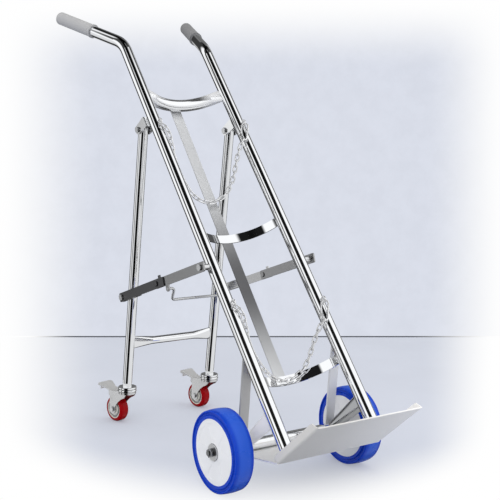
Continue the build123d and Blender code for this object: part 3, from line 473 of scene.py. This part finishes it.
def polishedMetal(name, colour, smooth, worn, metallic=1.0, ends=None):
    material, tree, shader, spot = newMaterial(name)
    marks = place(tree, marksGroup, {"Vector": spot, "Scale": polish["marks"]})
    rough = ramp(tree, marks["Marks"], *polish["worn"], smooth, worn)
    tree.links.new(rough, shader["Roughness"])
    tint = mixColor(tree, marks["Haze"], colour, darker(colour, polish["haze"]))
    tree.links.new(tint, shader["Base Color"])
    shader["Metallic"].default_value = metallic
    # painted light: less metallic, so paler, towards the ends
    if ends:
        bare = ramp(tree, offMiddle(tree, spot), *ends["reach"], metallic, ends["metallic"])
        tree.links.new(bare, shader["Metallic"])
    return material


def satinMetal(name, colour, tilt, rough, metallic=1.0, fade=None):
    material, tree, shader, spot = newMaterial(name)
    drawn = place(tree, grainGroup, {"Vector": spot, "Tilt": tilt, "Lines": satin["lines"]})["Grain"]
    marks = place(tree, marksGroup, {"Vector": spot, "Scale": satin["marks"]})["Marks"]
    tone = colour
    # painted light and shade: the fade makes the colour lighter or darker along one direction
    if fade:
        away = calc(tree, "SUBTRACT", dot(tree, spot, fade["way"]), fade["middle"])
        if fade["bothWays"]:
            away = calc(tree, "ABSOLUTE", away)
        tone = mixColor(tree, ramp(tree, away, *fade["reach"]), colour, fade["colour"])
    tree.links.new(toned(tree, tone, drawn, satin["span"], satin["tones"]), shader["Base Color"])
    low, high = satin["rougher"]
    base = ramp(tree, drawn, *satin["span"], rough + low, rough + high)
    tree.links.new(calc(tree, "MULTIPLY_ADD", marks, satin["dull"], base), shader["Roughness"])
    shader["Metallic"].default_value = metallic
    linkBump(tree, shader, drawn, satin["bump"])
    return material


# mask of the painted highlight: near the middle of the tread and its outside
def treadHighlightShare(tree, spot, treadHighlight):
    aside = calc(tree, "ABSOLUTE", calc(tree, "SUBTRACT", offMiddle(tree, spot), treadHighlight["middle"]))
    flat = put(tree, "VectorMath", {0: spot, 1: (0, 1, 1)}, operation="MULTIPLY").outputs[0]
    out = put(tree, "VectorMath", {0: flat, 1: treadHighlight["axle"]}, operation="DISTANCE").outputs["Value"]
    return calc(tree, "MULTIPLY", ramp(tree, aside, *treadHighlight["aside"]), ramp(tree, out, *treadHighlight["out"]))


def mouldedPlastic(name, colour, rough, pores, gloss=0.5, treadHighlight=None):
    material, tree, shader, spot = newMaterial(name)
    surface = place(tree, skinGroup, {"Vector": spot, "Scale": pores})
    tone = mixColor(tree, surface["Cloud"], darker(colour, moulding["dark"]), colour)
    # painted highlight: a paler colour mixed in where the mask is
    if treadHighlight:
        tone = mixColor(tree, treadHighlightShare(tree, spot, treadHighlight), tone, treadHighlight["colour"])
    tree.links.new(tone, shader["Base Color"])
    low, high = moulding["rougher"]
    dull = ramp(tree, surface["Cloud"], *moulding["span"], rough + low, rough + high)
    tree.links.new(dull, shader["Roughness"])
    shader["Specular IOR Level"].default_value = gloss
    linkBump(tree, shader, surface["Height"], moulding["bump"])
    return material


axle = Vector(joints["left_wheel_spin"]["pos_m"])
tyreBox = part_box("right_tyre")
lean = math.radians(40)
tubeWay = Vector((0, math.sin(lean), math.cos(lean)))
alongTubes = (-lean, 0, 0)
level = (0, 0, 0)
paintedTreadHighlight = {                # paler where the tyre runs
    "axle": (0, axle.y, axle.z),
    "middle": (tyreBox[0][0] + tyreBox[1][0]) / 2,
    "aside": (0.021, 0.011),   # painted highlight: the middle of the tread is paler all round
    "out": (0.092, 0.097),     # and from the axle
    "colour": (0.024, 0.105, 0.62, 1),
}
# painted light: the tray's colour grows lighter from left to right
trayPaintedLight = {"way": (1, 0, 0), "middle": 0.0, "bothWays": False, "reach": (-0.16, 0.16),
            "colour": (0.99, 0.98, 0.965, 1)}
# painted shade: the back strap is darkest about its middle, paler towards its ends
strapPaintedShade = {"way": tubeWay, "middle": axle.dot(tubeWay) + 0.41, "bothWays": True, "reach": (0.02, 0.32),
             "colour": (0.74, 0.745, 0.755, 1)}
crossPaintedEnds = {"reach": (0.055, 0.095), "metallic": 0.25}   # painted light: less metallic, so paler, towards the ends; metres from the middle, where it is pressed flat

polishedLooks = {
    "polishedStainless": {"colour": (0.88, 0.885, 0.895, 1), "smooth": 0.025, "worn": 0.07},
    "brightChain": {"colour": (0.95, 0.95, 0.955, 1), "smooth": 0.12, "worn": 0.20, "metallic": 0.85},
    "zincSteel": {"colour": (0.74, 0.745, 0.755, 1), "smooth": 0.28, "worn": 0.36},
    "bracketSteel": {"colour": (0.92, 0.925, 0.93, 1), "smooth": 0.14, "worn": 0.22},
    "forkSteel": {"colour": (0.70, 0.70, 0.705, 1), "smooth": 0.26, "worn": 0.36},
    "ringSteel": {"colour": (0.86, 0.865, 0.875, 1), "smooth": 0.10, "worn": 0.18},
    "darkNut": {"colour": (0.30, 0.305, 0.315, 1), "smooth": 0.20, "worn": 0.32},
    # painted shade: a darker copy of the brace steel, for the right brace
    "rightBraceSteel": {"colour": (0.46, 0.465, 0.475, 1), "smooth": 0.10, "worn": 0.16},
    "crossSteel": {"colour": (0.90, 0.905, 0.915, 1), "smooth": 0.05, "worn": 0.10, "metallic": 0.95,
                   "ends": crossPaintedEnds},
}
satinLooks = {
    "satinStainless": {"colour": (0.66, 0.665, 0.67, 1), "tilt": alongTubes, "rough": 0.34},
    "traySheet": {"colour": (0.70, 0.685, 0.655, 1), "tilt": alongTubes, "rough": 0.45, "metallic": 0.1,
                  "fade": trayPaintedLight},
    "panSheet": {"colour": (0.93, 0.93, 0.93, 1), "tilt": alongTubes, "rough": 0.45, "metallic": 0.5},
    "strapSteel": {"colour": (0.15, 0.15, 0.155, 1), "tilt": alongTubes, "rough": 0.42, "metallic": 0.9,
                   "fade": strapPaintedShade},
    "frontStaySteel": {"colour": (0.40, 0.40, 0.405, 1), "tilt": level, "rough": 0.34},
    # painted light and shade: a dark copy of the rear stay steel for the left stay, a pale one for the right
    "rearStaySteel": {"colour": (0.13, 0.13, 0.135, 1), "tilt": level, "rough": 0.32},
    "paleStaySteel": {"colour": (0.60, 0.60, 0.605, 1), "tilt": level, "rough": 0.28},
    # painted light and shade: a shaded copy of the strut steel for the left strut, a lit one for the right
    "leftStrutSteel": {"colour": (0.52, 0.52, 0.525, 1), "tilt": level, "rough": 0.5, "metallic": 0.7},
    "rightStrutSteel": {"colour": (0.80, 0.81, 0.84, 1), "tilt": level, "rough": 0.5, "metallic": 0.7},
    "pedalSteel": {"colour": (0.70, 0.70, 0.70, 1), "tilt": level, "rough": 0.45, "metallic": 0.45},
    # painted light: a pale, almost matt copy of the brace steel, for the left brace
    "leftBraceSteel": {"colour": (0.98, 0.97, 0.955, 1), "tilt": alongTubes, "rough": 0.4, "metallic": 0.1},
}
mouldedLooks = {
    "greyGrip": {"colour": (0.46, 0.46, 0.465, 1), "rough": 0.5, "pores": 1100.0},
    # painted shade: a darker copy of the grip's finish, for the right grip
    "greyGripWorn": {"colour": (0.25, 0.25, 0.255, 1), "rough": 0.5, "pores": 1100.0},
    "blueTyre": {"colour": (0.001, 0.052, 0.55, 1), "rough": 0.26, "pores": 700.0, "gloss": 0.2,
                 "treadHighlight": paintedTreadHighlight},
    "whiteNylon": {"colour": (0.93, 0.935, 0.945, 1), "rough": 0.36, "pores": 800.0},
    "redTread": {"colour": (0.33, 0.001, 0.004, 1), "rough": 0.2, "pores": 800.0, "gloss": 0.1},
    "creamNylon": {"colour": (0.80, 0.78, 0.70, 1), "rough": 0.4, "pores": 800.0},
}
finishes = {}
for make, looks in ((polishedMetal, polishedLooks), (satinMetal, satinLooks), (mouldedPlastic, mouldedLooks)):
    for name, values in looks.items():
        finishes[name] = make(name, **values)

slotFinish = {
    "polished_stainless": "polishedStainless",
    "bright_chain": "brightChain",
    "satin_stainless": "satinStainless",
    "zinc_steel": "zincSteel",
    "grey_grip": "greyGrip",
    "blue_tyre": "blueTyre",
    "white_nylon": "whiteNylon",
    "red_tread": "redTread",
    "cream_nylon": "creamNylon",
}
nodeFinish = {                 # pieces whose finish differs from the rest of their slot
    "top_cross_tube": "crossSteel",
    "right_grip": "greyGripWorn",
    "axle_nuts": "darkNut",
    "axle_rod": "darkNut",
    "caster_stem_nuts": "ringSteel",
    "toe_tray": "traySheet",
    "base_pan": "panSheet",
    "back_strap": "strapSteel",
    "left_strut": "leftStrutSteel",
    "right_strut": "rightStrutSteel",
    "left_axle_brace": "leftBraceSteel",
    "right_axle_brace": "rightBraceSteel",
    "left_rear_stay": "rearStaySteel",
    "right_rear_stay": "paleStaySteel",
}
pairFinish = {                 # the same on both sides
    "_wheel_bearings": "darkNut",
    "_front_stay": "frontStaySteel",
    "_leg_bracket": "bracketSteel",
    "_brake_pedal": "pedalSteel",
    "_caster_fork": "forkSteel",
    "_caster_race": "ringSteel",
    "_caster_top": "ringSteel",
}
for side in sides:
    nodeFinish.update({side + piece: name for piece, name in pairFinish.items()})
for subpart in frame["record"]["subparts"]:
    slots = nodes[subpart["node"]].data.materials
    slots.clear()
    slots.append(finishes[nodeFinish.get(subpart["node"], slotFinish[subpart["material_slot"]])])
print("materials set")

# thread guards in the dished sides of the caster wheels, metres
casterGuard = {
    "points": 72,
    "bevelSteps": 3,
    "smoothAngle": 35,
    "rings": [
        {"name": "GuardDark", "inner": 0.0200, "outer": 0.0246, "thick": 0.0024, "rounding": 0.0007,
         "fromMiddle": 0.0104, "finish": "darkNut"},
        {"name": "GuardBright", "inner": 0.0184, "outer": 0.0197, "thick": 0.0030, "rounding": 0.0005,
         "fromMiddle": 0.0108, "finish": "zincSteel"},
    ],
}


def deselectAll():
    if bpy.context.object and bpy.context.object.mode != "OBJECT":
        bpy.ops.object.mode_set(mode="OBJECT")
    bpy.ops.object.select_all(action="DESELECT")


def guardRing(name, size):
    deselectAll()
    bpy.ops.mesh.primitive_circle_add(vertices=casterGuard["points"], radius=size["outer"],
                                      fill_type="NOTHING")
    ring = bpy.context.object
    ring.name = name
    shrink = size["inner"] / size["outer"]
    bpy.ops.object.mode_set(mode="EDIT")
    bpy.ops.mesh.select_all(action="SELECT")
    bpy.ops.mesh.extrude_edges_move()
    bpy.ops.transform.resize(value=(shrink, shrink, 1), center_override=(0, 0, 0))
    bpy.ops.mesh.select_all(action="SELECT")
    bpy.ops.mesh.normals_make_consistent(inside=False)
    bpy.ops.object.mode_set(mode="OBJECT")
    wall = ring.modifiers.new("wall", "SOLIDIFY")
    wall.thickness = size["thick"]
    wall.offset = 0
    edge = ring.modifiers.new("edge", "BEVEL")
    edge.width = size["rounding"]
    edge.segments = casterGuard["bevelSteps"]
    edge.limit_method = "ANGLE"
    bpy.ops.object.modifier_apply(modifier="wall")
    bpy.ops.object.modifier_apply(modifier="edge")
    return ring


def buildCasterGuards():
    for side in sides:
        spin = joints[side + "_caster_spin"]
        middle = Vector(spin["pos_m"])
        axis = Vector(spin["axis"]).normalized()
        for face, outward in (("Outer", -axis), ("Inner", axis)):
            for size in casterGuard["rings"]:
                ring = guardRing(side + "Caster" + size["name"] + face, size)
                turn = outward.to_track_quat("Z", "Y").to_matrix().to_4x4()
                ring.matrix_world = Matrix.Translation(middle + outward * size["fromMiddle"]) @ turn
                bpy.ops.object.transform_apply(location=True, rotation=True, scale=True)
                bpy.ops.object.shade_smooth_by_angle(angle=math.radians(casterGuard["smoothAngle"]))
                ring.data.materials.append(finishes[size["finish"]])
                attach(ring, side + "_caster_wheel")


buildCasterGuards()
print("caster guards set")
